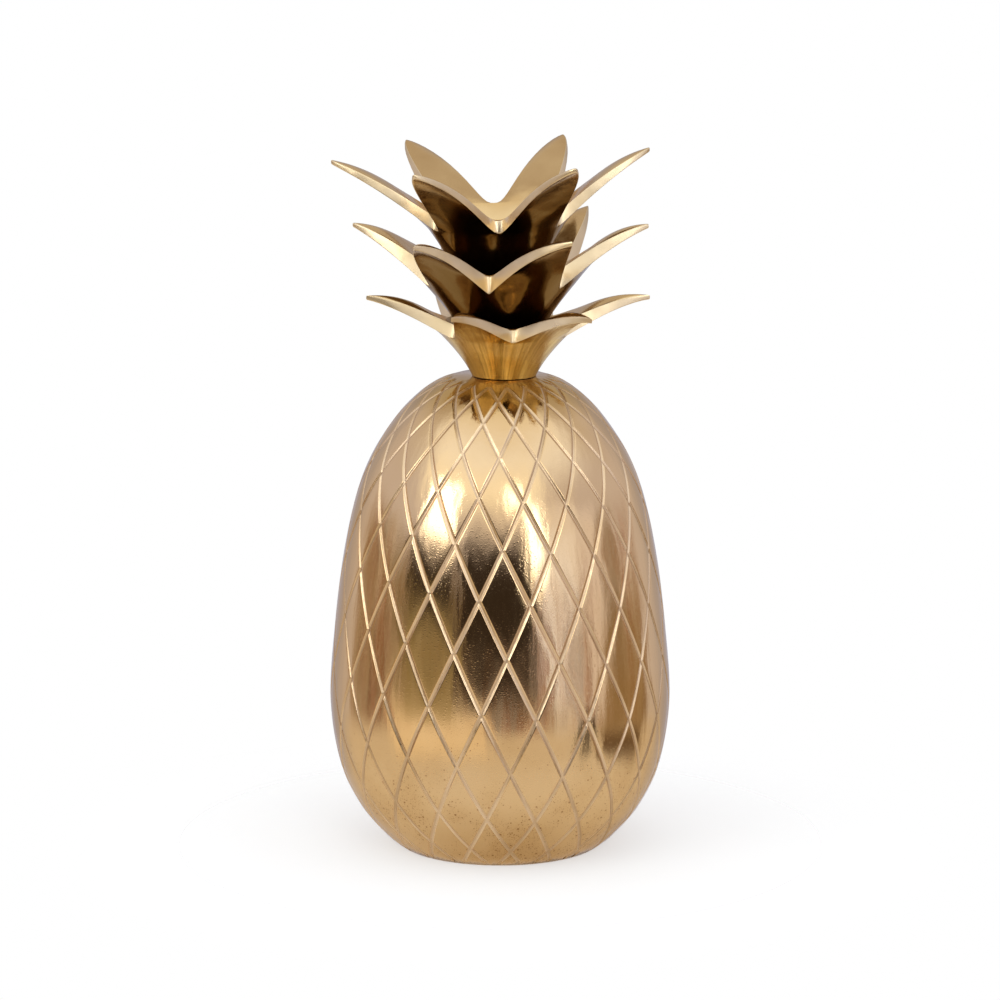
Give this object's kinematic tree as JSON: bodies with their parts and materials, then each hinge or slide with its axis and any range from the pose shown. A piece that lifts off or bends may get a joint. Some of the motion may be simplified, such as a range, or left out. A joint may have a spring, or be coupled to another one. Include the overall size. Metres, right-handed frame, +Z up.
{
  "type": "pineapple ornament",
  "caption": "Metal pineapple table ornament: an egg-shaped body cut with slanting grooves, under a crown of flaring cups with pointed leaves.",
  "frame": {"origin": "centre of the flat underside, which is also the bottom centre of the box around the part", "axes": "+Z up, -Y towards the front that the picture shows, +X to the right of that front"},
  "size_m": [0.1458, 0.1458, 0.3007],
  "materials": {
    "body_metal": "polished cast aluminium with a pale gold tone",
    "crown_metal": "polished cast aluminium with a warm gold tone"
  },
  "bodies": {
    "root": {"body": "body_metal", "crown_lower_tier": "crown_metal", "crown_middle_tier": "crown_metal", "crown_upper_tier": "crown_metal"}
  },
  "joints": []
}
